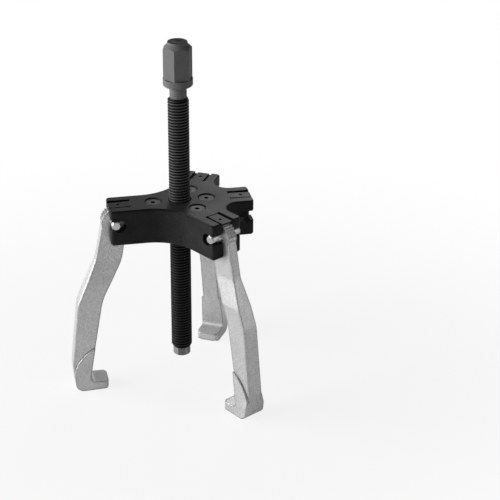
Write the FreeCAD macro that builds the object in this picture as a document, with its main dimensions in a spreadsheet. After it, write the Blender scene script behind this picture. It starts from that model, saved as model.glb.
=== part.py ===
import FreeCAD, Part
import math
import os
import Sketcher

# Ratcheting puller with hook-in jaws: a star-shaped yoke with four arms, a sprung ratchet
# plate screwed on top, three jaws that swing on pins under its tongues, and a pressure
# spindle with a swivelling tip. Millimetres. The origin is the centre of the tip's end face,
# +Z runs up the spindle, the free arm points along +X and the left jaw's arm along -X.
Vec = FreeCAD.Vector
os.makedirs("parts", exist_ok=True)
doc = FreeCAD.newDocument("ratcheting_puller")
sheet = doc.addObject("Spreadsheet::Sheet", "dims")

SIZES = [
    # where things sit
    ("pin_out", 44.1, "spindle axis to jaw pin axis"),
    ("pin_height", 104.9, "tip face to jaw pin axis"),
    ("arm_angle", 60, "angle between the free arm and each arm beside it"),
    # yoke
    ("arm_reach", 47.7, "spindle axis to the end of an arm"),
    ("arm_width", 24, "width of an arm"),
    ("yoke_below_pin", 14.2, "pin axis to the underside of the yoke"),
    ("yoke_above_pin", 9.1, "pin axis to the seat of the ratchet plate"),
    ("narrow_valley_radius", 9.4, "valley between the free arm and its neighbours"),
    ("wide_valley_radius", 30, "sweep between the left arm and its neighbours"),
    ("arm_corner_radius", 2, "upright corners at the arm ends"),
    ("yoke_foot_chamfer", 1, "chamfer under the yoke"),
    ("slot_play", 0.3, "each side of the jaw head in its slot"),
    ("head_room", 3.3, "jaw head to the root of the slot"),
    ("pocket_diameter", 8.4, "hook-in pocket for the pin"),
    ("pocket_in", 2.6, "pin axis inwards to the pocket's centre"),
    ("pocket_drop", 0.8, "pin axis down to the pocket's centre"),
    ("mouth_play", 0.15, "above and below the pin in the mouth"),
    ("mouth_lip_radius", 0.8, "rounded lips of the mouth"),
    # ratchet plate
    ("plate_thickness", 1.5, "sheet of the ratchet plate"),
    ("plate_edge_chamfer", 0.6, "softened top edge of the plate"),
    ("plate_hole_play", 0.7, "around the spindle in the plate"),
    ("tongue_width", 7.8, "sprung tongue over a jaw head"),
    ("tongue_root", 33.2, "spindle axis to the bend line of a tongue"),
    ("tongue_step", 0.3, "step down at the bend line"),
    ("tongue_angle", 1.4, "fall of a tongue's top face from the bend line"),
    ("tongue_slit", 2.2, "slit on each side of a tongue"),
    ("slit_past_root", 0.4, "how far a slit runs inwards past the bend line"),
    ("tongue_hole", 2.2, "small hole in a tongue"),
    ("tongue_hole_out", 41.1, "spindle axis to the small hole"),
    # countersunk plate screws
    ("screw_circle", 17.85, "spindle axis to a plate screw"),
    ("screw_diameter", 5, "plate screw"),
    ("screw_length", 12, "plate screw under its top face"),
    ("screw_play", 0.05, "around a plate screw's shank"),
    ("screw_head", 10.2, "countersunk head"),
    ("countersink", 11.8, "countersink at the plate's top face"),
    ("screw_socket", 3, "hexagon socket across flats"),
    ("screw_socket_depth", 2.6, "depth of the hexagon socket"),
    # spindle
    ("thread_diameter", 14, "major diameter of the spindle thread"),
    ("thread_pitch", 2, "lead of the spindle thread"),
    ("thread_play", 0.08, "around the spindle in the yoke"),
    ("thread_top", 186, "tip face to the end of the thread"),
    ("thread_run_out", 1.4, "cone at each end of the thread"),
    ("neck_diameter", 11.2, "relief between thread and collar"),
    ("collar_bottom", 195.3, "tip face to the underside of the collar"),
    ("collar_diameter", 19.4, "collar under the hexagon"),
    ("collar_chamfer", 0.7, "chamfer under the collar"),
    ("hex_bottom", 200.3, "tip face to the hexagon"),
    ("hex_height", 23.1, "hexagon with its chamfer"),
    ("hex_across", 17, "hexagon across flats"),
    ("hex_angle", 7.6, "how far the spindle stands turned"),
    ("hex_chamfer", 3.1, "height of the conical chamfer"),
    ("boss_diameter", 13.2, "boss on top of the hexagon"),
    ("boss_height", 1.5, "boss on top of the hexagon"),
    ("boss_radius", 0.6, "rounded edge of the boss"),
    ("dish_diameter", 7, "shallow dish in the boss"),
    ("dish_depth", 0.6, "shallow dish in the boss"),
    # swivelling tip
    ("tip_diameter", 11.6, "pressure tip"),
    ("tip_height", 5.7, "pressure tip below the spindle"),
    ("tip_edge", 0.5, "chamfer of the tip"),
    ("tip_gap", 0.2, "tip to spindle"),
    ("stem_diameter", 8, "stem of the tip"),
    ("stem_length", 6, "stem of the tip"),
    ("stem_play", 0.08, "around the stem in the spindle"),
    ("ball_diameter", 5, "thrust ball over the stem"),
    ("ball_play", 0.05, "above and below the thrust ball"),
    ("ring_wire", 1, "square wire of the retaining ring"),
    ("ring_play", 0.1, "around the wire in its grooves"),
    # jaw pins
    ("pin_diameter", 6.1, "jaw pin"),
    ("pin_overhang", 0.2, "pin end beyond the arm's side"),
    ("pin_edge", 0.6, "chamfer of a pin end"),
    ("pin_groove", 1, "width of a turned groove"),
    ("pin_groove_depth", 0.35, "depth of a turned groove"),
    ("pin_inner_groove", 6, "middle of the pin to the inner groove"),
    ("pin_outer_groove", 11, "middle of the pin to the outer groove"),
    ("pin_press", 0.01, "between a pin and its jaw, which grips it"),
    # jaws, measured from the pin axis
    ("head_radius", 8.7, "toothed head of a jaw"),
    ("head_thickness", 7, "toothed head and neck of a jaw"),
    ("tooth_depth", 0.75, "ratchet teeth"),
    ("tooth_angle", 13.6, "pitch of the ratchet teeth"),
    ("tooth_land", 0.25, "flat left on a tooth"),
    ("first_tooth_angle", 14, "first groove above the horizontal at the back"),
    ("tooth_grooves", 12, "grooves round the head"),
    ("tooth_cut_past", 0.3, "how far a groove's cut reaches past the head"),
    ("jaw_reach", 117.5, "pin axis to the grip face of the toe"),
    ("shank_thickness", 11.5, "shank of a jaw"),
    ("neck_back", 8.7, "back of the neck, outwards from the pin"),
    ("neck_drop", 1.7, "start of the back under the teeth"),
    ("upper_back_out", 13.5, "upper bend of the back"),
    ("upper_back_drop", 26.6, "upper bend of the back"),
    ("knee_back_out", 26.8, "knee of the back"),
    ("knee_back_drop", 58.7, "knee of the back"),
    ("heel_out", 31.8, "heel of the back"),
    ("heel_above_grip", 13.1, "heel of the back"),
    ("sole_back_out", 30.2, "back of the sole"),
    ("toe_depth", 6.4, "grip face to sole"),
    ("toe_lift", 0.8, "sole rising towards the toe"),
    ("toe_out", 8.1, "toe's end, outwards from the pin"),
    ("throat_out", 20.8, "root of the grip face"),
    ("knee_inner_out", 9.9, "knee of the inner edge"),
    ("knee_inner_drop", 55.6, "knee of the inner edge"),
    ("upper_inner_in", 3.9, "upper bend of the inner edge, inwards from the pin"),
    ("upper_inner_drop", 28.6, "upper bend of the inner edge"),
    ("neck_inner_in", 8.4, "inner edge of the neck"),
    ("bend_radius", 30, "upper bends of a jaw"),
    ("knee_back_radius", 14, "knee of the back"),
    ("knee_inner_radius", 45, "knee of the inner edge"),
    ("heel_radius", 16, "heel"),
    ("sole_radius", 5.5, "back corner of the sole"),
    ("toe_radius", 1.6, "corners of the toe"),
    ("throat_radius", 3, "forged root of the grip face"),
    ("flare_top_drop", 27.9, "where the neck starts to widen"),
    ("flare_bottom_drop", 45.9, "where the shank has its full thickness"),
    ("flare_radius", 14, "rounding of the flare"),
    ("foot_width", 16, "foot of a jaw"),
    ("foot_side", 3.6, "upright side of the foot above the grip face"),
    ("crease_inner_above_grip", 25.4, "crease of the foot at the inner edge"),
    ("crease_back_above_grip", 7, "crease of the foot at the back"),
    ("crease_radius", 30, "crease of the foot on the jaw's side"),
    ("crease_step", 1.1, "step of the foot at its crease"),
    ("toe_corner_radius", 3, "toe seen from above"),
    ("back_bevel", 1.3, "bevel along the back of a jaw"),
]
for row, (alias, value, note) in enumerate(SIZES, start=1):
    sheet.set("A%d" % row, alias)
    sheet.set("B%d" % row, str(value))
    sheet.setAlias("B%d" % row, alias)
    sheet.set("C%d" % row, note)
doc.recompute()


def num(expression):
    """Value of an expression over the sheet's names, in mm or degrees."""
    value = sheet.evalExpression(str(expression))
    return float(getattr(value, "Value", value))


def new_body(label, turn=None):
    """A body; turn is the azimuth of the arm that it belongs to."""
    body = doc.addObject("PartDesign::Body", label)
    body.Label = label
    if turn is not None:
        body.Placement = FreeCAD.Placement(Vec(), FreeCAD.Rotation(Vec(0, 0, 1), 1))
        body.setExpression("Placement.Rotation.Angle", turn)
    return body


def origin_of(body, role):
    return [item for item in body.Origin.OriginFeatures if item.Role == role][0]


def new_sketch(body, name, role, shift=None):
    """A sketch on one of the body's origin planes, moved by three expressions."""
    sketch = body.newObject("Sketcher::SketchObject", name)
    sketch.AttachmentSupport = [(origin_of(body, role), "")]
    sketch.MapMode = "FlatFace"
    for axis, expression in zip("xyz", shift or ()):
        if expression != "0":
            sketch.setExpression("AttachmentOffset.Base." + axis, expression)
    return sketch


def pin_point(sketch, index, end, x, y):
    """Hold one point of a sketch at two expressions."""
    for kind, expression in (("DistanceX", x), ("DistanceY", y)):
        value = num(expression)
        key = sketch.addConstraint(Sketcher.Constraint(kind, -1, 1, index, end, value))
        name = "%s_%d" % (kind.lower(), key)
        sketch.renameConstraint(key, name)
        if any(letter.isalpha() for letter in expression):
            sketch.setExpression("Constraints." + name, expression)


def outline(sketch, corners):
    """Closed outline through corners (x, y, radius), a corner with a radius being rounded."""
    points = [Vec(num(x), num(y), 0) for x, y, _ in corners]
    count = len(corners)
    cuts = []
    for i, (_, _, radius) in enumerate(corners):
        here = points[i]
        before = (points[i - 1] - here).normalize()
        after = (points[(i + 1) % count] - here).normalize()
        if radius is None:
            cuts.append((here, here, None, None))
            continue
        half = before.getAngle(after) / 2
        size = num(radius)
        run = size / math.tan(half)
        middle = (before + after).normalize()
        centre = here + middle * (size / math.sin(half))
        cuts.append((here + before * run, here + after * run, centre, here + middle * (
            size / math.sin(half) - size)))
    lines = []
    for i in range(count):
        line = Part.LineSegment(cuts[i][1], cuts[(i + 1) % count][0])
        lines.append(sketch.addGeometry(line, False))
    for i, (x, y, radius) in enumerate(corners):
        before, after = lines[i - 1], lines[i]
        start, end, centre, middle = cuts[i]
        if radius is None:
            sketch.addConstraint(Sketcher.Constraint("Coincident", before, 2, after, 1))
            pin_point(sketch, after, 1, x, y)
            continue
        arc = sketch.addGeometry(Part.Arc(start, middle, end), False)
        turns_left = (start - centre).cross(end - centre).z > 0
        first, last = (1, 2) if turns_left else (2, 1)
        sketch.addConstraint(Sketcher.Constraint("Tangent", before, 2, arc, first))
        sketch.addConstraint(Sketcher.Constraint("Tangent", after, 1, arc, last))
        key = sketch.addConstraint(Sketcher.Constraint("Radius", arc, num(radius)))
        sketch.renameConstraint(key, "radius_%d" % key)
        sketch.setExpression("Constraints.radius_%d" % key, radius)
        corner = sketch.addGeometry(Part.Point(points[i]), True)
        sketch.addConstraint(Sketcher.Constraint("PointOnObject", corner, 1, before))
        sketch.addConstraint(Sketcher.Constraint("PointOnObject", corner, 1, after))
        pin_point(sketch, corner, 1, x, y)
    return sketch


def circle(sketch, x, y, diameter):
    """A circle at two expressions with a bound diameter."""
    ring = sketch.addGeometry(Part.Circle(Vec(num(x), num(y), 0), Vec(0, 0, 1), num(diameter) / 2))
    pin_point(sketch, ring, 3, x, y)
    key = sketch.addConstraint(Sketcher.Constraint("Diameter", ring, num(diameter)))
    sketch.renameConstraint(key, "diameter_%d" % key)
    sketch.setExpression("Constraints.diameter_%d" % key, diameter)
    return sketch


def pad(body, name, sketch, length, both_ways=False):
    feature = body.newObject("PartDesign::Pad", name)
    feature.Profile = sketch
    feature.setExpression("Length", length)
    feature.SideType = "Symmetric" if both_ways else "One side"
    body.Tip = feature
    doc.recompute()
    return feature


def cut(body, name, sketch, depth=None, both_ways=False, upward=False):
    """A pocket, through all when it has no depth; it has to remove something."""
    volume = body.Tip.Shape.Volume
    feature = body.newObject("PartDesign::Pocket", name)
    feature.Profile = sketch
    feature.SideType = "Symmetric" if both_ways else "One side"
    feature.Reversed = upward
    if depth is None:
        feature.Type = "ThroughAll"
    else:
        feature.setExpression("Length", depth)
    body.Tip = feature
    doc.recompute()
    if feature.Shape.Volume > volume - 1e-6:
        raise RuntimeError(name + " removes nothing")
    return feature


def turned(body, name, sketch, cutting=False):
    """Revolve an (r, z) sketch on the XZ plane about the body's Z axis."""
    volume = body.Tip.Shape.Volume if cutting else 0
    kind = "PartDesign::Groove" if cutting else "PartDesign::Revolution"
    feature = body.newObject(kind, name)
    feature.Profile = sketch
    feature.ReferenceAxis = (sketch, ["V_Axis"])
    feature.Angle = 360
    body.Tip = feature
    doc.recompute()
    if cutting and feature.Shape.Volume > volume - 1e-6:
        raise RuntimeError(name + " removes nothing")
    return feature


def round_edges(body, name, radius, wanted, kind="Fillet"):
    """Fillet or chamfer the edges of the body's last feature that the test picks."""
    base = body.Tip
    picked = ["Edge%d" % (i + 1) for i, edge in enumerate(base.Shape.Edges) if wanted(edge)]
    if not picked:
        raise RuntimeError(name + " finds no edge")
    feature = body.newObject("PartDesign::" + kind, name)
    feature.Base = (base, picked)
    feature.setExpression("Radius" if kind == "Fillet" else "Size", radius)
    body.Tip = feature
    doc.recompute()
    return feature


def on_each_arm(body, name, originals):
    """Repeat features of the free arm on the back, left and front arms."""
    feature = body.newObject("PartDesign::PolarPattern", name)
    feature.Originals = originals
    feature.Axis = (origin_of(body, "Z_Axis"), [""])
    feature.Mode = "Spacing"
    feature.Occurrences = 4
    feature.setExpression("Offset", "dims.arm_angle")
    rest = 180 - num("dims.arm_angle")
    feature.Spacings = [-1.0, rest, rest]
    body.Tip = feature
    doc.recompute()
    return feature


def upright(edge):
    ends = [vertex.Point for vertex in edge.Vertexes]
    if len(ends) < 2 or (ends[1] - ends[0]).Length < 0.5:
        return False
    return abs((ends[1] - ends[0]).normalize().z) > 0.999


def away(edge):
    return math.hypot(edge.CenterOfMass.x, edge.CenterOfMass.y)


YOKE_BOTTOM = "dims.pin_height - dims.yoke_below_pin"
YOKE_TOP = "dims.pin_height + dims.yoke_above_pin"
PLATE_TOP = YOKE_TOP + " + dims.plate_thickness"
SLOT_WIDTH = "(dims.head_thickness + 2 * dims.slot_play)"
SLOT_ROOT = "dims.pin_out - dims.head_radius - dims.head_room"
PAST_ARM = "dims.arm_reach + dims.arm_width"
SPINDLE_BOTTOM = "dims.tip_height + dims.tip_gap"
LEFT, FRONT, BACK = "180", "-dims.arm_angle", "dims.arm_angle"


def star(body, bottom, thickness):
    """The four-armed outline that the yoke and the ratchet plate share."""
    arm = new_sketch(body, body.Label + "_arm_outline", "XY_Plane", ("0", "0", bottom))
    half = "dims.arm_width / 2"
    outline(arm, [("0", "-" + half, None), ("dims.arm_reach", "-" + half, None),
                  ("dims.arm_reach", half, None), ("0", half, None)])
    on_each_arm(body, body.Label + "_arms", [pad(body, body.Label + "_arm", arm, thickness)])
    width = num("dims.arm_width") / 2
    spread = math.radians(num("dims.arm_angle"))
    narrow = width / math.sin(spread / 2)
    wide = width / math.sin((math.pi - spread) / 2)
    corner = math.hypot(num("dims.arm_reach"), width)
    for name, radius, where in (("sweeps", "dims.wide_valley_radius", wide),
                                ("valleys", "dims.narrow_valley_radius", narrow),
                                ("end_corners", "dims.arm_corner_radius", corner)):
        round_edges(body, body.Label + "_" + name, radius,
                    lambda edge: upright(edge) and abs(away(edge) - where) < 0.05)


# Yoke: four slotted arms round the threaded bore. Each prong has a keyhole seat that is
# open at the arm's end, so that a jaw's pin hooks in.
yoke = new_body("yoke_body")
star(yoke, YOKE_BOTTOM, "dims.yoke_below_pin + dims.yoke_above_pin")
low = num(YOKE_BOTTOM)
round_edges(yoke, "yoke_underside", "dims.yoke_foot_chamfer",
            lambda edge: abs(edge.BoundBox.ZMin - low) < 0.01 and edge.BoundBox.ZLength < 0.01, "Chamfer")
bore = new_sketch(yoke, "yoke_bore", "XY_Plane", ("0", "0", YOKE_TOP))
circle(bore, "0", "0", "dims.thread_diameter + 2 * dims.thread_play")
cut(yoke, "yoke_threaded_bore", bore)
slot_plan = new_sketch(yoke, "yoke_slot_plan", "XY_Plane", ("0", "0", YOKE_TOP))
outline(slot_plan, [(SLOT_ROOT, "-" + SLOT_WIDTH + " / 2", None),
                    (PAST_ARM, "-" + SLOT_WIDTH + " / 2", None),
                    (PAST_ARM, SLOT_WIDTH + " / 2", None),
                    (SLOT_ROOT, SLOT_WIDTH + " / 2", None)])
slot = cut(yoke, "yoke_slot", slot_plan)
pocket_side = new_sketch(yoke, "yoke_pocket_side", "XZ_Plane", ("dims.pin_out", "dims.pin_height", "0"))
circle(pocket_side, "-dims.pocket_in", "-dims.pocket_drop", "dims.pocket_diameter")
pocket = cut(yoke, "yoke_pocket", pocket_side, "dims.arm_width * 2", both_ways=True)
mouth_side = new_sketch(yoke, "yoke_mouth_side", "XZ_Plane", ("dims.pin_out", "dims.pin_height", "0"))
mouth_half = "(dims.pin_diameter / 2 + dims.mouth_play)"
mouth_end = "(dims.arm_reach - dims.pin_out)"
flared = "(" + mouth_half + " + 2 * dims.mouth_lip_radius)"
outline(mouth_side, [("-dims.pocket_in", "-" + mouth_half, None),
                     (mouth_end + " - dims.mouth_lip_radius", "-" + mouth_half, "dims.mouth_lip_radius"),
                     (mouth_end + " + dims.mouth_lip_radius", "-" + flared, None),
                     (mouth_end + " + dims.mouth_lip_radius", flared, None),
                     (mouth_end + " - dims.mouth_lip_radius", mouth_half, "dims.mouth_lip_radius"),
                     ("-dims.pocket_in", mouth_half, None)])
mouth = cut(yoke, "yoke_mouth", mouth_side, "dims.arm_width * 2", both_ways=True)
on_each_arm(yoke, "yoke_seats", [slot, pocket, mouth])

# Tapped holes for the plate screws, with the countersink running on from the plate.
hole_side = new_sketch(yoke, "yoke_screw_hole_side", "XZ_Plane", ("dims.screw_circle", YOKE_TOP, "0"))
tap_radius = "(dims.screw_diameter / 2 + dims.screw_play)"
sink_below = "(dims.countersink / 2 - dims.plate_thickness)"
outline(hole_side, [("0", "0", None), (sink_below, "0", None),
                    (tap_radius, tap_radius + " - " + sink_below, None),
                    (tap_radius, "-dims.screw_length", None), ("0", "-dims.screw_length", None)])
tapped = turned(yoke, "yoke_screw_hole", hole_side, cutting=True)
on_each_arm(yoke, "yoke_screw_holes", [tapped])

# Ratchet plate: spring sheet with the yoke's outline and one slit tongue over each arm.
plate = new_body("spring_plate")
star(plate, YOKE_TOP, "dims.plate_thickness")
high = num(PLATE_TOP)
round_edges(plate, "plate_top_edge", "dims.plate_edge_chamfer",
            lambda edge: abs(edge.BoundBox.ZMin - high) < 0.01 and edge.BoundBox.ZLength < 0.01, "Chamfer")
plate_hole = new_sketch(plate, "plate_spindle_hole", "XY_Plane", ("0", "0", PLATE_TOP))
circle(plate_hole, "0", "0", "dims.thread_diameter + 2 * dims.plate_hole_play")
cut(plate, "plate_hole", plate_hole)
tongue_plan = new_sketch(plate, "plate_tongue_plan", "XY_Plane", ("0", "0", PLATE_TOP))
inside = "dims.tongue_width / 2"
outside = inside + " + dims.tongue_slit"
slit_root = "dims.tongue_root - dims.slit_past_root"
for sign in ("-", ""):
    edge_in, edge_out = ("%s(%s)" % (sign, text) for text in (inside, outside))
    outline(tongue_plan, [(slit_root, edge_in, None), (slit_root, edge_out, None),
                          (PAST_ARM, edge_out, None), (PAST_ARM, edge_in, None)])
circle(tongue_plan, "dims.tongue_hole_out", "0", "dims.tongue_hole")
slits = cut(plate, "plate_slits", tongue_plan)
# The tongue's top falls away from the bend line; its underside stays level on the yoke.
fall_side = new_sketch(plate, "plate_fall_side", "XZ_Plane", ("0", PLATE_TOP, "0"))
end_fall = "-(dims.tongue_step + (%s - dims.tongue_root) * tan(dims.tongue_angle * 1deg))" % PAST_ARM
outline(fall_side, [("dims.tongue_root", "0", None), ("dims.tongue_root", "-dims.tongue_step", None),
                    (PAST_ARM, end_fall, None), (PAST_ARM, "0", None)])
fall = cut(plate, "plate_fall", fall_side, "dims.tongue_width + dims.tongue_slit", both_ways=True)
sink_side = new_sketch(plate, "plate_sink_side", "XZ_Plane", ("dims.screw_circle", PLATE_TOP, "0"))
outline(sink_side, [("0", "0", None), ("dims.countersink / 2", "0", None),
                    (sink_below, "-dims.plate_thickness", None), ("0", "-dims.plate_thickness", None)])
sink = turned(plate, "plate_countersink", sink_side, cutting=True)
on_each_arm(plate, "plate_cuts", [slits, fall, sink])


# Countersunk screws with a hexagon socket; the head sits a little below the plate's top.
def hexagon(sketch, across):
    """A hexagon about the sketch's origin with its corners on the X axis."""
    flat = "(%s) / 2" % across
    tall = "(%s) / sqrt(3)" % across
    outline(sketch, [(tall, "0", None), (tall + " / 2", flat, None), ("-" + tall + " / 2", flat, None),
                     ("-" + tall, "0", None), ("-" + tall + " / 2", "-" + flat, None),
                     (tall + " / 2", "-" + flat, None)])


def plate_screw(label, azimuth):
    body = new_body(label)
    recess = "(dims.countersink - dims.screw_head) / 2 + dims.screw_play"
    body.setExpression("Placement.Base.x", "dims.screw_circle * cos((%s) * 1deg)" % azimuth)
    body.setExpression("Placement.Base.y", "dims.screw_circle * sin((%s) * 1deg)" % azimuth)
    body.setExpression("Placement.Base.z", PLATE_TOP + " - " + recess)
    side = new_sketch(body, label + "_side", "XZ_Plane")
    head, shank = "dims.screw_head / 2", "dims.screw_diameter / 2"
    outline(side, [("0", "0", None), (head, "0", None), (shank, shank + " - " + head, None),
                   (shank, "-dims.screw_length", None), ("0", "-dims.screw_length", None)])
    turned(body, label + "_turned", side)
    socket = new_sketch(body, label + "_socket_plan", "XY_Plane")
    hexagon(socket, "dims.screw_socket")
    cut(body, label + "_socket", socket, "dims.screw_socket_depth")
    return body


screws = [plate_screw("plate_screw_free", "0"), plate_screw("plate_screw_back", BACK),
          plate_screw("plate_screw_left", LEFT), plate_screw("plate_screw_front", FRONT)]

# Spindle: threaded rod with neck, collar and hexagon, bored from below for the tip's stem.
spindle = new_body("spindle")
rod = new_sketch(spindle, "spindle_side", "XZ_Plane")
major = "dims.thread_diameter / 2"
minor = "dims.tip_diameter / 2"
neck = "dims.neck_diameter / 2"
collar = "dims.collar_diameter / 2"
stem_bore = "(dims.stem_diameter / 2 + dims.stem_play)"
bore_end = "(" + SPINDLE_BOTTOM + " + dims.stem_length + dims.ball_diameter + 2 * dims.ball_play)"
run_out = "dims.thread_run_out"
outline(rod, [("0", bore_end, None), (stem_bore, bore_end, None),
              (stem_bore, SPINDLE_BOTTOM, None), (minor, SPINDLE_BOTTOM, None),
              (major, SPINDLE_BOTTOM + " + " + run_out, None),
              (major, "dims.thread_top", None), (neck, "dims.thread_top + " + run_out, None),
              (neck, "dims.collar_bottom", None),
              (collar + " - dims.collar_chamfer", "dims.collar_bottom", None),
              (collar, "dims.collar_bottom + dims.collar_chamfer", None),
              (collar, "dims.hex_bottom", None), ("0", "dims.hex_bottom", None)])
turned(spindle, "spindle_turned", rod)
hex_plan = new_sketch(spindle, "spindle_hexagon_plan", "XY_Plane", ("0", "0", "dims.hex_bottom"))
hexagon(hex_plan, "dims.hex_across")
pad(spindle, "spindle_hexagon", hex_plan, "dims.hex_height")
chamfer_side = new_sketch(spindle, "spindle_chamfer_side", "XZ_Plane", ("0", "dims.hex_bottom", "0"))
corner_out = "dims.hex_across / sqrt(3)"
boss = "dims.boss_diameter / 2"
outline(chamfer_side, [(boss, "dims.hex_height", None),
                       (corner_out, "dims.hex_height - dims.hex_chamfer", None),
                       (corner_out + " + 1", "dims.hex_height - dims.hex_chamfer", None),
                       (corner_out + " + 1", "dims.hex_height + 1", None),
                       (boss, "dims.hex_height + 1", None)])
turned(spindle, "spindle_hexagon_chamfer", chamfer_side, cutting=True)
boss_side = new_sketch(spindle, "spindle_boss_side", "XZ_Plane", ("0", "dims.hex_bottom + dims.hex_height", "0"))
dish = "dims.dish_diameter / 2"
outline(boss_side, [("0", "-1", None), (boss, "-1", None), (boss, "dims.boss_height", "dims.boss_radius"),
                    (dish, "dims.boss_height", None), ("0", "dims.boss_height - dims.dish_depth", None)])
turned(spindle, "spindle_boss", boss_side)
groove_side = new_sketch(spindle, "spindle_ring_groove_side", "XZ_Plane",
                         ("0", SPINDLE_BOTTOM + " + dims.stem_length / 2", "0"))
ring_middle = "dims.stem_diameter / 2"
groove_half = "(dims.ring_wire / 2 + dims.ring_play)"
outline(groove_side, [(ring_middle, "-" + groove_half, None),
                      (ring_middle + " + " + groove_half, "-" + groove_half, None),
                      (ring_middle + " + " + groove_half, groove_half, None),
                      (ring_middle, groove_half, None)])
turned(spindle, "spindle_ring_groove", groove_side, cutting=True)
spindle.Placement = FreeCAD.Placement(Vec(), FreeCAD.Rotation(Vec(0, 0, 1), 0))
spindle.setExpression("Placement.Rotation.Angle", "dims.hex_angle")

# Swivelling tip: its stem sits in the spindle on a thrust ball, held by a wire ring.
tip = new_body("pressure_tip")
tip_side = new_sketch(tip, "tip_side", "XZ_Plane")
stem = "dims.stem_diameter / 2"
stem_top = "(" + SPINDLE_BOTTOM + " + dims.stem_length)"
ring_height = SPINDLE_BOTTOM + " + dims.stem_length / 2"
outline(tip_side, [("0", "0", None), (minor + " - dims.tip_edge", "0", None), (minor, "dims.tip_edge", None),
                   (minor, "dims.tip_height", None), (stem, "dims.tip_height", None),
                   (stem, ring_height + " - " + groove_half, None),
                   (stem + " - " + groove_half, ring_height + " - " + groove_half, None),
                   (stem + " - " + groove_half, ring_height + " + " + groove_half, None),
                   (stem, ring_height + " + " + groove_half, None), (stem, stem_top, None),
                   ("0", stem_top, None)])
turned(tip, "tip_turned", tip_side)
ball = doc.addObject("Part::Sphere", "tip_ball")
ball.Label = "tip_ball"
ball.setExpression("Radius", "dims.ball_diameter / 2")
ball.setExpression("Placement.Base.z", stem_top + " + dims.ball_play + dims.ball_diameter / 2")
wire_ring = new_body("tip_retaining_ring")
ring_side = new_sketch(wire_ring, "tip_retaining_ring_side", "XZ_Plane", ("0", ring_height, "0"))
wire_half = "dims.ring_wire / 2"
outline(ring_side, [(stem + " - " + wire_half, "-" + wire_half, None), (stem + " + " + wire_half, "-" + wire_half, None),
                    (stem + " + " + wire_half, wire_half, None), (stem + " - " + wire_half, wire_half, None)])
turned(wire_ring, "tip_retaining_ring_turned", ring_side)


# Jaw pin: turned, with two pairs of narrow grooves; it lies across the arm.
def jaw_pin(label, azimuth):
    body = new_body(label, azimuth)
    end = "(dims.arm_width / 2 + dims.pin_overhang)"
    out = "dims.pin_diameter / 2"
    side = new_sketch(body, label + "_side", "XY_Plane", ("dims.pin_out", "0", "dims.pin_height"))
    half = [("0", end, None), (out + " - dims.pin_edge", end, None), (out, end + " - dims.pin_edge", None)]
    for middle in ("dims.pin_outer_groove", "dims.pin_inner_groove"):
        half += [(out, middle + " + dims.pin_groove / 2", None), (out + " - dims.pin_groove_depth", middle, None),
                 (out, middle + " - dims.pin_groove / 2", None)]
    other = [(x, "-(" + y + ")", None) for x, y, _ in reversed(half)]
    outline(side, half + other)
    turned(body, label + "_turned", side)
    return body


pins = [jaw_pin("jaw_pin_left", LEFT), jaw_pin("jaw_pin_front", FRONT), jaw_pin("jaw_pin_back", BACK)]

GRIP = "-dims.jaw_reach"
SOLE = "(-dims.jaw_reach - dims.toe_depth)"
HEEL_Y = "(dims.heel_above_grip - dims.jaw_reach)"
FULL = "(dims.foot_side - dims.jaw_reach)"
INNER_TOP = "(dims.crease_inner_above_grip - dims.jaw_reach)"
BACK_TOP = "(dims.crease_back_above_grip - dims.jaw_reach)"


def between(level, top, bottom):
    """Outward place, at a level, of the line through two corners (out, level)."""
    return "(%s + (%s - %s) * (%s - %s) / (%s - %s))" % (
        top[0], bottom[0], top[0], level, top[1], bottom[1], top[1])


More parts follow.
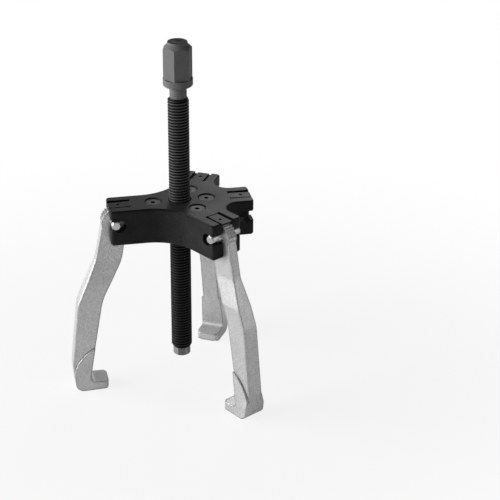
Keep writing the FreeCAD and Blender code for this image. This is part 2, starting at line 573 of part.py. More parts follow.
# Jaw: forged shank with a thin toothed head, widening below the yoke, and a wide hooked toe.
def jaw(label, azimuth):
    body = new_body(label, azimuth)
    at_pin = ("dims.pin_out", "dims.pin_height", "0")
    knee_inner = ("dims.knee_inner_out", "-dims.knee_inner_drop")
    throat = ("dims.throat_out", GRIP)
    heel = ("dims.heel_out", HEEL_Y)
    sole_back = ("dims.sole_back_out", SOLE)
    side = new_sketch(body, label + "_side", "XZ_Plane", at_pin)
    outline(side, [
        ("dims.neck_back", "-dims.neck_drop", None),
        ("dims.upper_back_out", "-dims.upper_back_drop", "dims.bend_radius"),
        ("dims.knee_back_out", "-dims.knee_back_drop", "dims.knee_back_radius"),
        heel + ("dims.heel_radius",),
        sole_back + ("dims.sole_radius",),
        ("dims.toe_out", SOLE + " + dims.toe_lift", None),
        ("dims.toe_out", GRIP, None),
        throat + (None,),
        knee_inner + ("dims.knee_inner_radius",),
        ("-dims.upper_inner_in", "-dims.upper_inner_drop", "dims.bend_radius"),
        ("-dims.neck_inner_in", "-dims.neck_drop", None)])
    pad(body, label + "_shank", side, "dims.shank_thickness", both_ways=True)
    cheeks = new_sketch(body, label + "_cheeks", "YZ_Plane", ("0", "dims.pin_height", "0"))
    thin, thick = "dims.head_thickness / 2", "dims.shank_thickness / 2"
    for sign in ("", "-"):
        outline(cheeks, [("%s(%s)" % (sign, thin), "dims.head_radius", None),
                         ("%s(%s)" % (sign, thin), "-dims.flare_top_drop", "dims.flare_radius"),
                         ("%s(%s)" % (sign, thick), "-dims.flare_bottom_drop", None),
                         ("%s(%s + 2)" % (sign, thick), "-dims.flare_bottom_drop", None),
                         ("%s(%s + 2)" % (sign, thick), "dims.head_radius", None)])
    cut(body, label + "_neck", cheeks, "dims.jaw_reach * 4", both_ways=True)
    flank = [num(thin), num(thick)]
    neck_z = num("dims.pin_height - dims.neck_drop")
    heel_z = num("dims.pin_height + " + HEEL_Y)

    def along_back(edge):
        """An edge between the back and a side face, from under the head to the heel."""
        middle = edge.valueAt((edge.FirstParameter + edge.LastParameter) / 2)
        if not (heel_z < middle.z < neck_z and flank[0] - 0.01 < abs(middle.y) < flank[1] + 0.01):
            return False
        drop = num("dims.pin_height") - middle.z
        level = num("(%s)" % between("-%.6f" % drop, ("dims.neck_back", "-dims.neck_drop"), heel))
        return edge.Length > 1 and middle.x - num("dims.pin_out") > level - flank[1]

    def foot_side(sign):
        """One side of the foot: a step along the crease, lofted on to the full width."""
        names = []
        for name, shift, top_in, top_back in (("crease", "(%s + dims.crease_step)" % thick, INNER_TOP, BACK_TOP),
                                              ("edge", "dims.foot_width / 2", FULL, FULL)):
            sketch = new_sketch(body, "%s_%s_%s" % (label, name, sign or "m"), "XZ_Plane",
                                ("dims.pin_out", "dims.pin_height", "%s%s" % (sign, shift)))
            inner = between(top_in, knee_inner, throat)
            back = between(top_back, heel, sole_back)
            start, end = Vec(num(inner), num(top_in), 0), Vec(num(back), num(top_back), 0)
            foot_in, foot_back = between(GRIP, knee_inner, throat), between(GRIP, heel, sole_back)
            corners = [start, end, Vec(num(foot_back), num(GRIP), 0), Vec(num(foot_in), num(GRIP), 0)]
            if name == "crease":
                chord = end - start
                reach = num("dims.crease_radius")
                sag = reach - math.sqrt(reach ** 2 - (chord.Length / 2) ** 2)
                bulge = Vec(-chord.y, chord.x, 0).normalize()
                first = sketch.addGeometry(Part.Arc(start, (start + end) * 0.5 + bulge * sag, end), False)
                begin, finish = 2, 1
            else:
                first = sketch.addGeometry(Part.LineSegment(start, end), False)
                begin, finish = 1, 2
            others = [sketch.addGeometry(Part.LineSegment(corners[i], corners[(i + 1) % 4]), False)
                      for i in (1, 2, 3)]
            sketch.addConstraint(Sketcher.Constraint("Coincident", first, finish, others[0], 1))
            sketch.addConstraint(Sketcher.Constraint("Coincident", others[0], 2, others[1], 1))
            sketch.addConstraint(Sketcher.Constraint("Coincident", others[1], 2, others[2], 1))
            sketch.addConstraint(Sketcher.Constraint("Coincident", others[2], 2, first, begin))
            pin_point(sketch, others[0], 1, back, top_back)
            pin_point(sketch, others[1], 1, foot_back, GRIP)
            pin_point(sketch, others[2], 1, foot_in, GRIP)
            pin_point(sketch, others[2], 2, inner, top_in)
            if name == "crease":
                key = sketch.addConstraint(Sketcher.Constraint("Radius", first, reach))
                sketch.renameConstraint(key, "crease_radius")
                sketch.setExpression("Constraints.crease_radius", "dims.crease_radius")
            names.append(sketch)
        step = body.newObject("PartDesign::Pad", "%s_step_%s" % (label, sign or "m"))
        step.Profile = names[0]
        step.setExpression("Length", "dims.crease_step + 2 * dims.back_bevel")
        step.Reversed = not sign
        body.Tip = step
        doc.recompute()
        loft = body.newObject("PartDesign::AdditiveLoft", "%s_flare_%s" % (label, sign or "m"))
        loft.Profile = names[0]
        loft.Sections = [names[1]]
        loft.Ruled = True
        body.Tip = loft
        doc.recompute()

    round_edges(body, label + "_back_edges", "dims.back_bevel", along_back)
    foot_side("")
    foot_side("-")
    toe = new_sketch(body, label + "_toe", "XZ_Plane", at_pin)
    outline(toe, [(between(FULL, heel, sole_back), FULL, None), sole_back + ("dims.sole_radius",),
                  ("dims.toe_out", SOLE + " + dims.toe_lift", "dims.toe_radius"),
                  ("dims.toe_out", GRIP, "dims.toe_radius"), throat + ("dims.throat_radius",),
                  (between(FULL, knee_inner, throat), FULL, None)])
    pad(body, label + "_toe_block", toe, "dims.foot_width", both_ways=True)
    toe_plan = new_sketch(body, label + "_toe_plan", "XY_Plane",
                          ("dims.pin_out", "0", "dims.pin_height - dims.jaw_reach"))
    tip_x, side_y, step = "dims.toe_out", "(dims.foot_width / 2)", "2 * dims.toe_corner_radius"
    for sign in ("", "-"):
        rim, past, start = ("%s(%s)" % (sign, text) for text in (
            side_y, side_y + " + 1", side_y + " - " + step))
        outline(toe_plan, [(tip_x + " + " + step, rim, None), (tip_x, rim, "dims.toe_corner_radius"),
                           (tip_x, start, None), (tip_x + " - 1", start, None),
                           (tip_x + " - 1", past, None), (tip_x + " + " + step, past, None)])
    cut(body, label + "_toe_corners", toe_plan, "dims.toe_depth * 2")
    head = new_sketch(body, label + "_head_side", "XZ_Plane", at_pin)
    circle(head, "0", "0", "2 * dims.head_radius")
    pad(body, label + "_head", head, "dims.head_thickness", both_ways=True)
    eye = new_sketch(body, label + "_eye_side", "XZ_Plane", at_pin)
    circle(eye, "0", "0", "dims.pin_diameter + 2 * dims.pin_press")
    cut(body, label + "_eye", eye, "dims.shank_thickness * 2", both_ways=True)
    groove = new_sketch(body, label + "_tooth_side", "XZ_Plane", at_pin)
    half_angle = "((dims.tooth_angle - dims.tooth_land / dims.head_radius * 180 / pi) / 2)"
    root = "(dims.head_radius - dims.tooth_depth)"
    past = "(dims.head_radius + dims.tooth_cut_past)"
    aim = "(dims.first_tooth_angle * 1deg)"
    spread = "(%s * 1deg * (1 + dims.tooth_cut_past / dims.tooth_depth))" % half_angle
    outline(groove, [("%s * cos(%s)" % (root, aim), "%s * sin(%s)" % (root, aim), None),
                     ("%s * cos(%s - %s)" % (past, aim, spread), "%s * sin(%s - %s)" % (past, aim, spread), None),
                     ("%s * cos(%s + %s)" % (past, aim, spread), "%s * sin(%s + %s)" % (past, aim, spread), None)])
    tooth = cut(body, label + "_tooth", groove, "dims.head_thickness * 2", both_ways=True)
    teeth = body.newObject("PartDesign::PolarPattern", label + "_teeth")
    teeth.Originals = [tooth]
    teeth.Axis = (groove, ["N_Axis"])
    teeth.Mode = "Spacing"
    teeth.setExpression("Offset", "dims.tooth_angle")
    teeth.setExpression("Occurrences", "dims.tooth_grooves")
    body.Tip = teeth
    doc.recompute()
    return body


jaws = [jaw("jaw_left", LEFT), jaw("jaw_front", FRONT), jaw("jaw_back", BACK)]

doc.recompute()
nodes = [yoke, plate] + screws + [spindle, tip, ball, wire_ring] + jaws + pins
for item in doc.Objects:
    if "Invalid" in item.State or "Error" in item.State:
        raise RuntimeError("%s failed: %s" % (item.Label, item.State))
for node in nodes:
    if node.Shape.isNull() or not node.Shape.isValid() or len(node.Shape.Solids) != 1:
        raise RuntimeError(node.Label + " is not one valid solid")
    box = node.Shape.BoundBox
    print("%-20s %9.1f mm3  z %7.2f %7.2f" % (node.Label, node.Shape.Volume, box.ZMin, box.ZMax))
    node.Shape.exportStep("parts/%s.step" % node.Label)
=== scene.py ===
import math

import bmesh
import bpy
from mathutils import Matrix, Vector


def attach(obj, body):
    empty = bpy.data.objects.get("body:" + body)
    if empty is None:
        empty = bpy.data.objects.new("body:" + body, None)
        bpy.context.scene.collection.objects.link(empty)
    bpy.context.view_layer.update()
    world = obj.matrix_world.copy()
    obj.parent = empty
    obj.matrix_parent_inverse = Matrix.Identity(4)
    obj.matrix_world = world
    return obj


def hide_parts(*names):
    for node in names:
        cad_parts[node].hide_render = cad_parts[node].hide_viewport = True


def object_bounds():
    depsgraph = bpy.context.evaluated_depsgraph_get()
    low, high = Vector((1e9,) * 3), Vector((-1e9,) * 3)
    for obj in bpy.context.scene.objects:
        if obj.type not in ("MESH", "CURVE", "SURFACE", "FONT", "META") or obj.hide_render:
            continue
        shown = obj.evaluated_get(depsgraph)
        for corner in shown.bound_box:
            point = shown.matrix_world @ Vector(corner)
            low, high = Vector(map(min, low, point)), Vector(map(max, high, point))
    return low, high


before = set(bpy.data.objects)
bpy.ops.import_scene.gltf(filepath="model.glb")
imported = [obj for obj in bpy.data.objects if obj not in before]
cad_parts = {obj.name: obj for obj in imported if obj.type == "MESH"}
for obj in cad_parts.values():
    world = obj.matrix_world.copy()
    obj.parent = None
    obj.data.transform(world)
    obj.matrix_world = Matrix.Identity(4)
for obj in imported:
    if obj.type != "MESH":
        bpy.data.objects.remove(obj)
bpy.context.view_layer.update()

# Camera. A long lens looks down on the puller from the front, a little from the left,
# so the free arm points to the right and the front jaw stands nearest.
camera_place = Vector((-0.1657905, -0.9991207, 0.567955))
camera_right = Vector((0.97835091, -0.2069079, 0.00431415))
camera_up = Vector((0.08634798, 0.42705839, 0.90009175))
camera_back = camera_right.cross(camera_up).normalized()
camera_turn = Matrix((camera_right, camera_up, camera_back)).transposed().to_4x4()
camera = bpy.data.objects.new("camera", bpy.data.cameras.new("camera"))
bpy.context.scene.collection.objects.link(camera)
camera.data.sensor_width = 36
camera.data.lens = 120.645
camera.data.clip_end = 20
camera.matrix_world = Matrix.Translation(camera_place) @ camera_turn
bpy.context.scene.camera = camera


# Yoke. One forging with three jaw arms and a free arm, slotted and bored, and coated
# matt black. The coat is fine-grained and worn a little brighter along the edges.
def put(tree, kind, settings=None, **values):
    """Adds a node; settings are its own choices, values its unlinked inputs."""
    made = tree.nodes.new(kind)
    for name, value in (settings or {}).items():
        setattr(made, name, value)
    for name, value in values.items():
        made.inputs[name.replace("_", " ")].default_value = value
    return made


def reckon(tree, operation, *values):
    """A Math node fed by numbers or by other nodes' outputs."""
    made = put(tree, "ShaderNodeMath", {"operation": operation})
    for socket, value in zip(made.inputs, values):
        if isinstance(value, (int, float)):
            socket.default_value = value
        else:
            tree.links.new(value, socket)
    return made.outputs[0]


def ramp(tree, value, low, high, to_low=0.0, to_high=1.0, course="SMOOTHSTEP"):
    """Takes a value from one range to another, and holds it at the ends."""
    made = put(tree, "ShaderNodeMapRange", {"interpolation_type": course},
               From_Min=low, From_Max=high, To_Min=to_low, To_Max=to_high)
    tree.links.new(value, made.inputs["Value"])
    return made.outputs["Result"]


def blend(tree, amount, under, over):
    """Mixes two colours, each of them plain or another node's output."""
    made = put(tree, "ShaderNodeMix", {"data_type": "RGBA"})
    sockets = {socket.identifier: socket for socket in (*made.inputs, *made.outputs)}
    tree.links.new(amount, sockets["Factor_Float"])
    for label, colour in (("A_Color", under), ("B_Color", over)):
        if isinstance(colour, tuple):
            sockets[label].default_value = (*colour, 1)
        else:
            tree.links.new(colour, sockets[label])
    return sockets["Result_Color"]


def effect(name, inputs, outputs):
    """A new shader node group with its sockets, and its input and output nodes."""
    tree = bpy.data.node_groups.new(name, "ShaderNodeTree")
    for label, value in inputs:
        socket = tree.interface.new_socket(name=label, in_out="INPUT", socket_type="NodeSocketFloat")
        socket.default_value = value
    for label, kind in outputs:
        tree.interface.new_socket(name=label, in_out="OUTPUT", socket_type="NodeSocket" + kind)
    return tree, put(tree, "NodeGroupInput").outputs, put(tree, "NodeGroupOutput").inputs


# Softened edges: the normal turns over a rounded edge. Edge marks the bare metal worn there, which the
# finishes also paint as a highlight, and Seam the thin band where the rounding runs out into the face,
# where they paint a dark shade line. Side marks what doesn't face upwards, and Groove what lies between
# close walls; the finishes paint shade by both.
soft_edges, taken, given = effect(
    "Softened edges",
    (("Radius", 0.0005), ("Wear", 0.5), ("Reach", 0.0011)),
    (("Normal", "Vector"), ("Edge", "Float"), ("Seam", "Float"), ("Side", "Float"), ("Groove", "Float")))
rounded = put(soft_edges, "ShaderNodeBevel", {"samples": 6})
soft_edges.links.new(taken["Radius"], rounded.inputs["Radius"])
soft_edges.links.new(rounded.outputs["Normal"], given["Normal"])
flat = put(soft_edges, "ShaderNodeNewGeometry")
agree = put(soft_edges, "ShaderNodeVectorMath", {"operation": "DOT_PRODUCT"})
soft_edges.links.new(rounded.outputs["Normal"], agree.inputs[0])
soft_edges.links.new(flat.outputs["Normal"], agree.inputs[1])
turned_away = reckon(soft_edges, "SUBTRACT", 1.0, agree.outputs["Value"])

place = put(soft_edges, "ShaderNodeTexCoord")
edge_patches = put(soft_edges, "ShaderNodeTexNoise", Scale=260.0, Detail=3.0)
soft_edges.links.new(place.outputs["Object"], edge_patches.inputs["Vector"])
patchy = ramp(soft_edges, edge_patches.outputs["Fac"], 0.35, 0.62, to_low=0.35, course="LINEAR")
worn_and_lit_edge = reckon(soft_edges, "MULTIPLY", ramp(soft_edges, turned_away, 0.01, 0.22), patchy)
soft_edges.links.new(reckon(soft_edges, "MULTIPLY", worn_and_lit_edge, taken["Wear"]), given["Edge"])

# Seam: the band where the finishes lay a thin line of painted shade.
begins = ramp(soft_edges, turned_away, 0.006, 0.025)
ends = ramp(soft_edges, turned_away, 0.12, 0.24, to_low=1.0, to_high=0.0)
soft_edges.links.new(reckon(soft_edges, "MULTIPLY", begins, ends), given["Seam"])

facing = put(soft_edges, "ShaderNodeSeparateXYZ")
soft_edges.links.new(flat.outputs["Normal"], facing.inputs[0])
steep = ramp(soft_edges, facing.outputs["Z"], 0.75, 0.95, to_low=1.0, to_high=0.0)
soft_edges.links.new(steep, given["Side"])

# Groove: ambient occlusion, by which the finishes paint shade into hollows.
open_air = put(soft_edges, "ShaderNodeAmbientOcclusion", {"samples": 6, "only_local": True})
soft_edges.links.new(taken["Reach"], open_air.inputs["Distance"])
shut_in = ramp(soft_edges, open_air.outputs["AO"], 0.45, 0.82, to_low=1.0, to_high=0.0)
soft_edges.links.new(shut_in, given["Groove"])

# Fine grain: small pits for the bump, and a slow cloud for the colour and the gloss.
fine_grain, taken, given = effect(
    "Fine grain",
    (("Grain size", 0.0006), ("Cloud size", 0.012)),
    (("Height", "Float"), ("Cloud", "Float")))
place = put(fine_grain, "ShaderNodeTexCoord")
for size, result, detail, roughness in (
        ("Grain size", "Height", 4.0, 0.62),
        ("Cloud size", "Cloud", 3.0, 0.55)):
    pattern = put(fine_grain, "ShaderNodeTexNoise", Detail=detail, Roughness=roughness)
    fine_grain.links.new(place.outputs["Object"], pattern.inputs["Vector"])
    fine_grain.links.new(reckon(fine_grain, "DIVIDE", 1.0, taken[size]), pattern.inputs["Scale"])
    fine_grain.links.new(pattern.outputs["Fac"], given[result])


def bare_steel(name, **values):
    """A material with nothing but its shader, which takes the values."""
    made = bpy.data.materials.new(name)
    made.use_nodes = True
    tree = made.node_tree
    tree.nodes.clear()
    shader = put(tree, "ShaderNodeBsdfPrincipled", **values)
    out = put(tree, "ShaderNodeOutputMaterial")
    tree.links.new(shader.outputs[0], out.inputs["Surface"])
    return made, tree, shader


def press_in(tree, shader, height, edge_normal, strength, depth):
    """Bumps the surface by a height, over the softened edges."""
    bump = put(tree, "ShaderNodeBump", Strength=strength, Distance=depth)
    tree.links.new(height, bump.inputs["Height"])
    tree.links.new(edge_normal, bump.inputs["Normal"])
    tree.links.new(bump.outputs["Normal"], shader.inputs["Normal"])


def finish_metal(name, dull, bright, bare_and_lit_edge, rough, radius, wear_and_highlight, grain, cloud_size, pit_depth,
                 metallic=0.0, gleam=0.5, blotch=1.0, grit=0.3,
                 seam_shade=0.0, side_shade=0.0, top_shade=0.0, groove_shade=0.0, reach=0.0011):
    """A grained finish between two colours, rubbed bright along its edges, where the bare colour is also
    a painted highlight, and given painted shade on seams, grooves, upright faces and tops by the amounts
    it is told.
    """
    made, tree, shader = bare_steel(name, Metallic=metallic, Specular_IOR_Level=gleam)
    edges = put(tree, "ShaderNodeGroup", {"node_tree": soft_edges},
                Radius=radius, Wear=wear_and_highlight, Reach=reach).outputs
    grains = put(tree, "ShaderNodeGroup", {"node_tree": fine_grain},
                 Grain_size=grain, Cloud_size=cloud_size).outputs
    spread = ramp(tree, grains["Cloud"], 0.3, 0.7, 0.5 - 0.5 * blotch, 0.5 + 0.5 * blotch, "LINEAR")
    speck = ramp(tree, grains["Height"], 0.35, 0.65, -grit, grit, "LINEAR")
    shade = reckon(tree, "ADD", spread, speck)
    colour = blend(tree, shade, dull, bright)
    # Edges take the bare colour of worn metal, which also serves as a painted highlight.
    colour = blend(tree, edges["Edge"], colour, bare_and_lit_edge)
    # Painted shade: upright faces, tops, seams and grooves are darkened towards a near black copy of the
    # dull colour, where shade would fall.
    painted_shade = reckon(tree, "MULTIPLY_ADD", edges["Side"], side_shade - top_shade, top_shade)
    for mask, amount in (("Seam", seam_shade), ("Groove", groove_shade)):
        painted_shade = reckon(tree, "MAXIMUM", painted_shade, reckon(tree, "MULTIPLY", edges[mask], amount))
    painted_shade_colour = tuple(0.12 * part for part in dull)
    tree.links.new(blend(tree, painted_shade, colour, painted_shade_colour), shader.inputs["Base Color"])
    tree.links.new(ramp(tree, shade, -0.2, 1.2, rough[1], rough[0], "LINEAR"), shader.inputs["Roughness"])
    press_in(tree, shader, grains["Height"], edges["Normal"], 0.6, pit_depth)
    return made


def dress(material, *nodes):
    """Gives CAD nodes a finish in place of their plain one."""
    for name in nodes:
        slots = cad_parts[name].data.materials
        for index in range(max(1, len(slots))):
            if index < len(slots):
                slots[index] = material
            else:
                slots.append(material)


yoke_coat = finish_metal(
    "yoke matt black coat", dull=(0.012, 0.012, 0.0123), bright=(0.030, 0.030, 0.0304),
    bare_and_lit_edge=(0.060, 0.060, 0.062), rough=(0.42, 0.52), radius=0.0007, wear_and_highlight=0.6, grain=0.00055,
    cloud_size=0.014, pit_depth=0.00008, gleam=0.07, blotch=0.6, grit=0.5)
dress(yoke_coat, "yoke_body")

# Ratchet plate. Spring sheet of the yoke's outline with a sprung tongue over each jaw head,
# slit on both sides and set a little lower, screwed on and coated black.
# The plate's upright faces and slit walls are painted darker, and painted shade fills its grooves and the
# countersinks round the screws; its worn edges are also painted as a highlight.
plate_coat = finish_metal(
    "ratchet plate black", dull=(0.021, 0.021, 0.0212), bright=(0.029, 0.029, 0.0292),
    bare_and_lit_edge=(0.26, 0.26, 0.263), rough=(0.36, 0.44), radius=0.0004, wear_and_highlight=0.8, grain=0.0004,
    cloud_size=0.016, pit_depth=0.00003, gleam=0.14, blotch=0.8, side_shade=1.0, groove_shade=0.9, reach=0.0032)
dress(plate_coat, "spring_plate")

# Plate screws. Four small countersunk screws with hexagon sockets, blackened and a
# shade paler than the plate, each sitting in its wider countersink.
# Their upright faces and hexagon sockets are painted darker, as painted shade.
screw_black = finish_metal(
    "blackened screw", dull=(0.060, 0.060, 0.060), bright=(0.085, 0.085, 0.085),
    bare_and_lit_edge=(0.30, 0.30, 0.30), rough=(0.36, 0.46), radius=0.0003, wear_and_highlight=0.5, grain=0.0003,
    cloud_size=0.005, pit_depth=0.00002, gleam=0.25, side_shade=1.0, groove_shade=1.0, reach=0.003)
dress(screw_black, "plate_screw_free", "plate_screw_back", "plate_screw_left", "plate_screw_front")

# Spindle. A forged rod with a rolled right-hand thread, a neck, a collar and a hexagon,
# blackened all over. The head is burnished to a dark grey, and the thread is oiled.
# The head's upward faces are painted darker, as painted shade.
head_finish = finish_metal(
    "burnished spindle head", dull=(0.140, 0.140, 0.142), bright=(0.180, 0.180, 0.182),
    bare_and_lit_edge=(0.25, 0.25, 0.25), rough=(0.48, 0.58), radius=0.0004, wear_and_highlight=0.6, grain=0.0005,
    cloud_size=0.010, pit_depth=0.00004, gleam=0.04, blotch=0.7, top_shade=0.9)
thread_finish = finish_metal(
    "oiled spindle thread", dull=(0.002, 0.002, 0.0021), bright=(0.004, 0.004, 0.0042),
    bare_and_lit_edge=(0.04, 0.04, 0.04), rough=(0.42, 0.52), radius=0.0001, wear_and_highlight=0.2, grain=0.0005,
    cloud_size=0.008, pit_depth=0.00001, gleam=0.12)

# The crests are rubbed by the yoke's thread and painted lighter, partly as wear and partly as a painted
# highlight, and the roots stay black. Below the yoke the crests stay dark as a painted shadow of the
# yoke.
tree = thread_finish.node_tree
shader = tree.nodes["Principled BSDF"]
place = put(tree, "ShaderNodeTexCoord")
sideways = put(tree, "ShaderNodeVectorMath", {"operation": "MULTIPLY"})
sideways.inputs[1].default_value = (1, 1, 0)
tree.links.new(place.outputs["Object"], sideways.inputs[0])
from_axis = put(tree, "ShaderNodeVectorMath", {"operation": "LENGTH"})
tree.links.new(sideways.outputs["Vector"], from_axis.inputs[0])
on_crest = ramp(tree, from_axis.outputs["Value"], 0.0066, 0.00698)
level = put(tree, "ShaderNodeSeparateXYZ")
tree.links.new(place.outputs["Object"], level.inputs[0])
# Painted shadow of the yoke: below it the crests stay dark.
clear_of_yoke_shadow = ramp(tree, level.outputs["Z"], 0.07, 0.14, to_low=0.2)
oiled = shader.inputs["Base Color"].links[0].from_socket
# Crests lighter: worn metal and a painted highlight.
rubbed_and_lit_crest = blend(tree, reckon(tree, "MULTIPLY", on_crest, clear_of_yoke_shadow), oiled, (0.095, 0.095, 0.096))
tree.links.new(rubbed_and_lit_crest, shader.inputs["Base Color"])

# The thread is a flat strip of faces, as wide as the pitch, that is wound up round the axis.
# Its radius follows the profile across the strip, and runs out in a cone at either end.
thread_low = 0.0059
thread_high = 0.1874
thread_sizes = (
    ("Major radius", "Float", 0.007), ("Depth", "Float", 0.00122), ("Pitch", "Float", 0.002),
    ("Low end", "Float", thread_low), ("High end", "Float", thread_high), ("Run out", "Float", 0.0014),
    ("Low radius", "Float", 0.0058), ("High radius", "Float", 0.0056),
    ("Steps", "Int", 48), ("Rows", "Int", 8), ("Turns", "Int", 92), ("Finish", "Material", thread_finish))
wind = bpy.data.node_groups.new("Rolled thread", "GeometryNodeTree")
thread_inputs = {}
for label, kind, value in thread_sizes:
    socket = wind.interface.new_socket(name=label, in_out="INPUT", socket_type="NodeSocket" + kind)
    thread_inputs[socket.identifier] = value
wind.interface.new_socket(name="Geometry", in_out="OUTPUT", socket_type="NodeSocketGeometry")
size = put(wind, "NodeGroupInput").outputs

whole_length = reckon(wind, "MULTIPLY", size["Steps"], size["Turns"])
strip = put(wind, "GeometryNodeMeshGrid")
wind.links.new(whole_length, strip.inputs["Size X"])
wind.links.new(size["Rows"], strip.inputs["Size Y"])
wind.links.new(reckon(wind, "ADD", whole_length, 1.0), strip.inputs["Vertices X"])
wind.links.new(reckon(wind, "ADD", size["Rows"], 1.0), strip.inputs["Vertices Y"])
where = put(wind, "ShaderNodeSeparateXYZ")
wind.links.new(put(wind, "GeometryNodeInputPosition").outputs[0], where.inputs[0])
along = reckon(wind, "MULTIPLY_ADD", whole_length, 0.5, where.outputs["X"])
across = reckon(wind, "MULTIPLY_ADD", size["Rows"], 0.5, where.outputs["Y"])
turn = reckon(wind, "DIVIDE", along, size["Steps"])
share = reckon(wind, "DIVIDE", across, size["Rows"])

rise = reckon(wind, "SUBTRACT", reckon(wind, "ADD", turn, share), 1.0)
height = reckon(wind, "MULTIPLY_ADD", rise, size["Pitch"], size["Low end"])
height = reckon(wind, "MAXIMUM", height, size["Low end"])
height = reckon(wind, "MINIMUM", height, size["High end"])

wave = reckon(wind, "COSINE", reckon(wind, "MULTIPLY", share, 2 * math.pi))
crest = reckon(wind, "MULTIPLY_ADD", wave, -0.75, 0.5)
crest = reckon(wind, "MINIMUM", reckon(wind, "MAXIMUM", crest, 0.0), 1.0)
root = reckon(wind, "SUBTRACT", size["Major radius"], size["Depth"])
radius = reckon(wind, "MULTIPLY_ADD", crest, size["Depth"], root)
for end_radius, gone in (
        (size["Low radius"], reckon(wind, "SUBTRACT", height, size["Low end"])),
        (size["High radius"], reckon(wind, "SUBTRACT", size["High end"], height))):
    part_way = reckon(wind, "DIVIDE", gone, size["Run out"])
    widening = reckon(wind, "SUBTRACT", size["Major radius"], end_radius)
    cone = reckon(wind, "MULTIPLY_ADD", part_way, widening, end_radius)
    radius = reckon(wind, "MINIMUM", radius, cone)

angle = reckon(wind, "MULTIPLY", turn, 2 * math.pi)
point = put(wind, "ShaderNodeCombineXYZ")
for direction, operation in (("X", "COSINE"), ("Y", "SINE")):
    offset = reckon(wind, "MULTIPLY", radius, reckon(wind, operation, angle))
    wind.links.new(offset, point.inputs[direction])
wind.links.new(height, point.inputs["Z"])
wound = put(wind, "GeometryNodeSetPosition")
wind.links.new(point.outputs[0], wound.inputs["Position"])
coated = put(wind, "GeometryNodeSetMaterial")
wind.links.new(size["Finish"], coated.inputs["Material"])
chain = (strip, wound, put(wind, "GeometryNodeMergeByDistance", Distance=0.00003),
         put(wind, "GeometryNodeSetShadeSmooth"), put(wind, "GeometryNodeRealizeInstances"),
         coated, put(wind, "NodeGroupOutput"))
for first, second in zip(chain, chain[1:]):
    wind.links.new(first.outputs[0], second.inputs[0])

thread_base = bpy.data.objects.new("thread_base", bpy.data.meshes.new("thread_base"))
bpy.context.scene.collection.objects.link(thread_base)
winding = thread_base.modifiers.new("Rolled thread", "NODES")
winding.node_group = wind
for identifier, value in thread_inputs.items():
    winding[identifier] = value
bpy.context.view_layer.update()
wound_base = thread_base.evaluated_get(bpy.context.evaluated_depsgraph_get())
wound_mesh = bpy.data.meshes.new_from_object(wound_base)
bpy.data.objects.remove(thread_base)

# The head, the neck and the bore come from the CAD spindle; the thread takes the plain rod's
# place, and is bridged to it at both ends.
bore_clear = 0.0053                  # between the bore's wall and the root of the thread
hair = 0.00002                       # keeps the ring faces at the thread's ends out
rim_slack = 0.00003                  # how far a corner of a rim may lie off its level
same_point = 0.000002                # corners nearer than this are one
head_from = 0.1873                   # edges above this are sharp where they turn enough
sharp_edge = math.radians(28)


def on_thread(face):
    """Tells whether a face lies on the threaded stretch, outside the bore."""
    middle = face.calc_center_median()
    return thread_low + hair < middle.z < thread_high - hair and middle.xy.length > bore_clear


rod = bmesh.new()
rod.from_mesh(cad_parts["spindle"].data)
bmesh.ops.remove_doubles(rod, verts=rod.verts, dist=same_point)
bmesh.ops.delete(rod, geom=[face for face in rod.faces if on_thread(face)], context="FACES")
rod.from_mesh(wound_mesh)
for face in rod.faces:
    face.material_index = 1 if on_thread(face) else 0
for level in (thread_low, thread_high):
    rims = [edge for edge in rod.edges
            if edge.is_boundary and all(abs(end.co.z - level) < rim_slack for end in edge.verts)]
    bmesh.ops.bridge_loops(rod, edges=rims)
for face in rod.faces:
    face.smooth = True
for edge in rod.edges:
    if len(edge.link_faces) == 2 and max(end.co.z for end in edge.verts) > head_from:
        edge.smooth = edge.calc_face_angle(0) < sharp_edge
spindle_mesh = bpy.data.meshes.new("spindle_rolled")
rod.to_mesh(spindle_mesh)
rod.free()
spindle_mesh.materials.append(head_finish)
spindle_mesh.materials.append(thread_finish)
spindle = bpy.data.objects.new("spindle_rolled", spindle_mesh)
bpy.context.scene.collection.objects.link(spindle)
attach(spindle, "spindle_rod")
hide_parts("spindle")


# Swivelling tip. Turned and hardened steel, left bright, on a thrust ball in the spindle's
# bore and held there by a square wire ring; turning marks run round it.
def turned_steel(name, colour, rough, axis_turn, mark_size, pit_depth):
    """Bright steel with fine marks of the lathe across its axis, which a turn lays along X."""
    made, tree, shader = bare_steel(name, Metallic=1.0)
    edges = put(tree, "ShaderNodeGroup", {"node_tree": soft_edges}, Radius=0.0003, Wear=1.0).outputs
    grains = put(tree, "ShaderNodeGroup", {"node_tree": fine_grain},
                 Grain_size=0.0004, Cloud_size=0.004).outputs
    laid = put(tree, "ShaderNodeMapping", Rotation=axis_turn, Scale=(1.0 / mark_size, 30.0, 30.0))
    tree.links.new(put(tree, "ShaderNodeTexCoord").outputs["Object"], laid.inputs["Vector"])
    marks = put(tree, "ShaderNodeTexNoise", Scale=1.0, Detail=3.0, Roughness=0.6)
    tree.links.new(laid.outputs[0], marks.inputs["Vector"])
    streaks = reckon(tree, "MULTIPLY", ramp(tree, marks.outputs["Fac"], 0.3, 0.7, course="LINEAR"), 0.5)
    shade = reckon(tree, "MULTIPLY_ADD", grains["Cloud"], 0.6, streaks)
    darker = tuple(0.72 * part for part in colour)
    tree.links.new(blend(tree, shade, darker, colour), shader.inputs["Base Color"])
    tree.links.new(ramp(tree, shade, 0.0, 1.0, rough[1], rough[0], "LINEAR"), shader.inputs["Roughness"])
    press_in(tree, shader, marks.outputs["Fac"], edges["Normal"], 0.5, pit_depth)
    return made


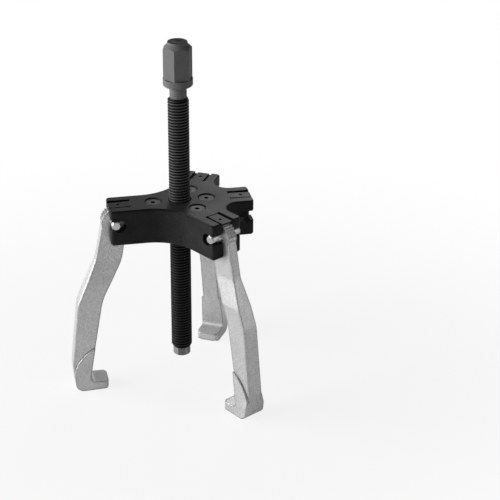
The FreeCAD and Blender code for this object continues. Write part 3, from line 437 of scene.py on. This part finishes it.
tip_steel = turned_steel("bright turned tip", colour=(0.26, 0.26, 0.26), rough=(0.40, 0.50),
                         axis_turn=(0, math.radians(90), 0), mark_size=0.0003, pit_depth=0.00002)
tree = tip_steel.node_tree
shader = tree.nodes["Principled BSDF"]
shader.inputs["Anisotropic"].default_value = 0.97
shader.inputs["Anisotropic Rotation"].default_value = 0.25
lathe_turn = put(tree, "ShaderNodeTangent", {"direction_type": "RADIAL", "axis": "Z"})
tree.links.new(lathe_turn.outputs[0], shader.inputs["Tangent"])
dress(tip_steel, "pressure_tip", "tip_ball", "tip_retaining_ring")

# Jaws. Three drop-forged hooks with a thin toothed head, a flared shank and a wide foot, blasted and
# plated to a satin silver, with their edges rubbed bright and painted as a highlight. Thin lines of
# painted shade run where the edges round off, and painted shade fills the grooves between the teeth.
forged_satin = finish_metal(
    "forged satin silver", dull=(0.47, 0.47, 0.467), bright=(0.71, 0.71, 0.706),
    bare_and_lit_edge=(0.98, 0.98, 0.98), rough=(0.36, 0.46), radius=0.0014, wear_and_highlight=1.0, grain=0.0008,
    cloud_size=0.012, pit_depth=0.00012, metallic=0.7, blotch=0.3, grit=0.65, seam_shade=0.9, groove_shade=0.95)
dress(forged_satin, "jaw_left", "jaw_front", "jaw_back")

# Jaw pins. Turned bright steel with two pairs of narrow grooves, pressed through the jaw's
# eye; both ends stand a little past the arm's sides.
for side, azimuth in (("left", 180), ("front", -60), ("back", 60)):
    pin_steel = turned_steel("bright turned pin " + side, colour=(0.66, 0.66, 0.66), rough=(0.18, 0.30),
                             axis_turn=(0, 0, -math.radians(azimuth + 90)),
                             mark_size=0.0002, pit_depth=0.00001)
    dress(pin_steel, "jaw_pin_" + side)


# Studio. A plain white floor under the feet, seen as white but still holding the shadow,
# a wide soft lamp on the left, a weak one at the front right and a small one close behind.
def seen_as_white(tree):
    """How much of the plain background a ray sees: all through glass and by the camera."""
    rays = put(tree, "ShaderNodeLightPath").outputs
    seen = reckon(tree, "MULTIPLY_ADD", rays["Is Glossy Ray"], 0.3, rays["Is Camera Ray"])
    return reckon(tree, "ADD", seen, rays["Is Transmission Ray"])


def by_ray(tree, share, lit, plain, end):
    """Shows the plain white shader by a share, and the lit one for the rest."""
    mixed = put(tree, "ShaderNodeMixShader")
    tree.links.new(share, mixed.inputs[0])
    tree.links.new(lit.outputs[0], mixed.inputs[1])
    tree.links.new(plain.outputs[0], mixed.inputs[2])
    tree.links.new(mixed.outputs[0], put(tree, end).inputs["Surface"])


floor_half = 6
floor_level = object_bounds()[0][2] - 0.00005
floor_mesh = bpy.data.meshes.new("floor")
floor_corners = [(x * floor_half, y * floor_half, floor_level)
                 for x, y in ((-1, -1), (1, -1), (1, 1), (-1, 1))]
floor_mesh.from_pydata(floor_corners, [], [(0, 1, 2, 3)])
floor = bpy.data.objects.new("floor", floor_mesh)
bpy.context.scene.collection.objects.link(floor)
floor_paint = bpy.data.materials.new("white floor")
floor_paint.use_nodes = True
tree = floor_paint.node_tree
tree.nodes.clear()
from_middle = put(tree, "ShaderNodeVectorMath", {"operation": "LENGTH"})
tree.links.new(put(tree, "ShaderNodeTexCoord").outputs["Object"], from_middle.inputs[0])
whiter_outwards = ramp(tree, from_middle.outputs["Value"], 0.10, 0.45, to_low=0.84)
by_ray(tree, reckon(tree, "MULTIPLY", seen_as_white(tree), whiter_outwards),
       put(tree, "ShaderNodeBsdfDiffuse", Color=(0.88, 0.88, 0.88, 1)),
       put(tree, "ShaderNodeEmission", Color=(1, 1, 1, 1), Strength=1.0), "ShaderNodeOutputMaterial")
floor_mesh.materials.append(floor_paint)

world = bpy.data.worlds.new("pale room")
bpy.context.scene.world = world
world.use_nodes = True
tree = world.node_tree
tree.nodes.clear()
by_ray(tree, seen_as_white(tree),
       put(tree, "ShaderNodeBackground", Color=(1, 1, 1, 1), Strength=0.08),
       put(tree, "ShaderNodeBackground", Color=(1, 1, 1, 1), Strength=1.0), "ShaderNodeOutputWorld")


def soft_lamp(name, place, aim, width, height, power):
    """A rectangular area lamp that faces a point."""
    lamp = bpy.data.objects.new(name, bpy.data.lights.new(name, "AREA"))
    lamp.data.shape = "RECTANGLE"
    lamp.data.size = width
    lamp.data.size_y = height
    lamp.data.energy = power
    bpy.context.scene.collection.objects.link(lamp)
    lamp.location = place
    lamp.rotation_euler = (Vector(aim) - Vector(place)).to_track_quat("-Z", "Y").to_euler()


soft_lamp("lamp_left", place=(-2.0, 0.25, 0.72), aim=(0, 0, 0.12), width=2.2, height=1.3, power=72)
soft_lamp("lamp_front", place=(0.95, -0.75, 0.42), aim=(0, 0, 0.09), width=0.5, height=0.5, power=1.7)
soft_lamp("lamp_back", place=(0.17, 0.43, 0.37), aim=(0.03, 0, 0.11), width=0.15, height=0.15, power=0.34)

scene = bpy.context.scene
scene.view_settings.view_transform = "Standard"
